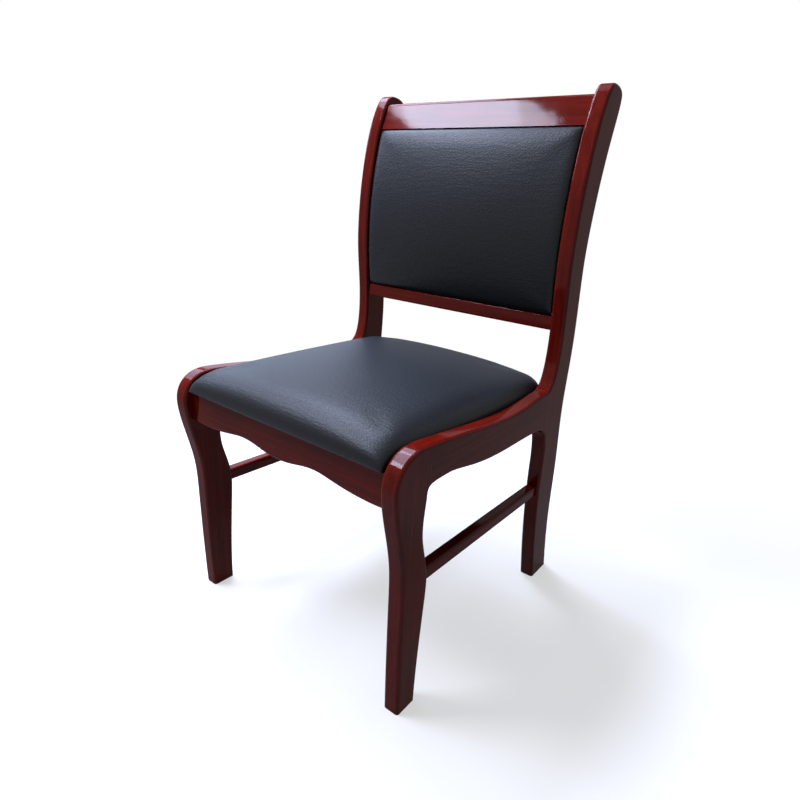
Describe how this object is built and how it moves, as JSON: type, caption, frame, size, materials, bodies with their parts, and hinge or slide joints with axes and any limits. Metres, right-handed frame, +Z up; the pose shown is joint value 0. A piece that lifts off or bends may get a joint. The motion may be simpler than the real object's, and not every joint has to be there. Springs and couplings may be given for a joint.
{
  "type": "conference chair",
  "caption": "Side chair with a glossy red-brown wood frame, curved legs and posts, and let-in black leatherette seat and back cushions.",
  "frame": {"origin": "on the floor under the middle of the chair's bounding box", "axes": "+Z up, the front of the chair faces -Y, +X to the right as seen from the front; left and right in node names are as seen from the front"},
  "size_m": [0.494, 0.58, 0.955],
  "materials": {
    "lacquered_wood": "red-brown stain under high-gloss lacquer",
    "raw_wood": "bare sanded wood",
    "plywood": "bare plywood",
    "leatherette": "black, fine grain, soft sheen",
    "foam": "open-cell foam",
    "black_cloth": "non-woven cloth",
    "zinc_steel": "zinc plated"
  },
  "bodies": {
    "root": {"rear_post_left": "lacquered_wood", "rear_post_right": "lacquered_wood", "front_leg_left": "lacquered_wood", "front_leg_right": "lacquered_wood", "side_rail_left": "lacquered_wood", "side_rail_right": "lacquered_wood", "front_apron": "lacquered_wood", "rear_apron": "lacquered_wood", "stretcher_left": "lacquered_wood", "stretcher_right": "lacquered_wood", "crest_rail": "lacquered_wood", "low_back_rail": "lacquered_wood", "corner_block_front_left": "raw_wood", "corner_block_front_right": "raw_wood", "corner_block_rear_left": "raw_wood", "corner_block_rear_right": "raw_wood", "back_cleat_left": "raw_wood", "back_cleat_right": "raw_wood", "seat_frame_dowels": "raw_wood", "back_rail_dowels": "raw_wood", "stretcher_dowels": "raw_wood", "seat_board": "plywood", "back_board": "plywood", "seat_cover": "leatherette", "back_cover": "leatherette", "back_rear_panel": "leatherette", "seat_foam": "foam", "back_foam": "foam", "dust_cover": "black_cloth", "corner_block_screws": "zinc_steel", "seat_screws": "zinc_steel", "back_screws": "zinc_steel"}
  },
  "joints": []
}
